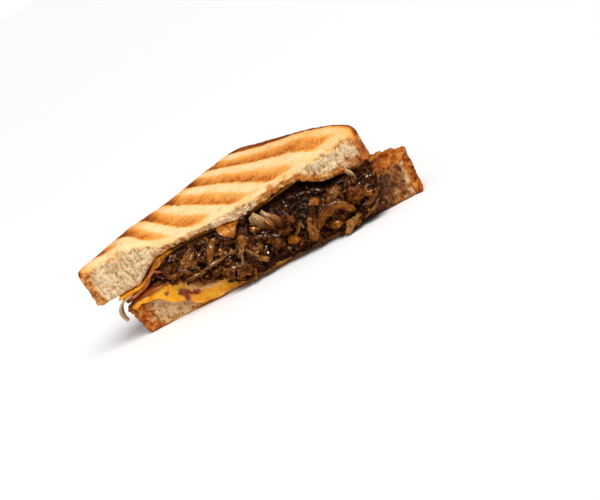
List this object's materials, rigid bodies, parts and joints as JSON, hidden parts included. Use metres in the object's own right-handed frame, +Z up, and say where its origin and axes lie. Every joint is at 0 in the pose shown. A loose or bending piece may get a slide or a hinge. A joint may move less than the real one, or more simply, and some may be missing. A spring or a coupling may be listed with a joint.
{
  "type": "pork melt sandwich",
  "caption": "Half of a grilled white bread sandwich cut corner to corner, filled with pulled pork, melted cheese, bacon and soft onion, lying on its bottom slice.",
  "frame": {"origin": "middle of the bounding box, on the underside of the bottom slice", "axes": "+X along the cut face, to the right as seen from in front of it; the cut face looks along -Y; +Z up through the slices"},
  "size_m": [0.173, 0.0894, 0.0469],
  "materials": {
    "toasted_bread": "dry toasted bread, pale crumb with orange-brown grill marks",
    "dark_bread": "dry brown-crusted bread",
    "cheddar": "melted, soft shine",
    "bacon": "cooked, greasy shine",
    "pork": "shredded meat, wet with brown sauce",
    "onion": "cooked, translucent"
  },
  "bodies": {
    "root": {"bottom_bread": "dark_bread", "top_bread": "toasted_bread", "bottom_cheese": "cheddar", "top_cheese": "cheddar", "bacon_left": "bacon", "bacon_through": "bacon", "onion_end": "onion", "onion_petal_1": "onion", "onion_petal_2": "onion", "onion_petal_3": "onion", "pulled_pork": "pork"}
  },
  "joints": []
}
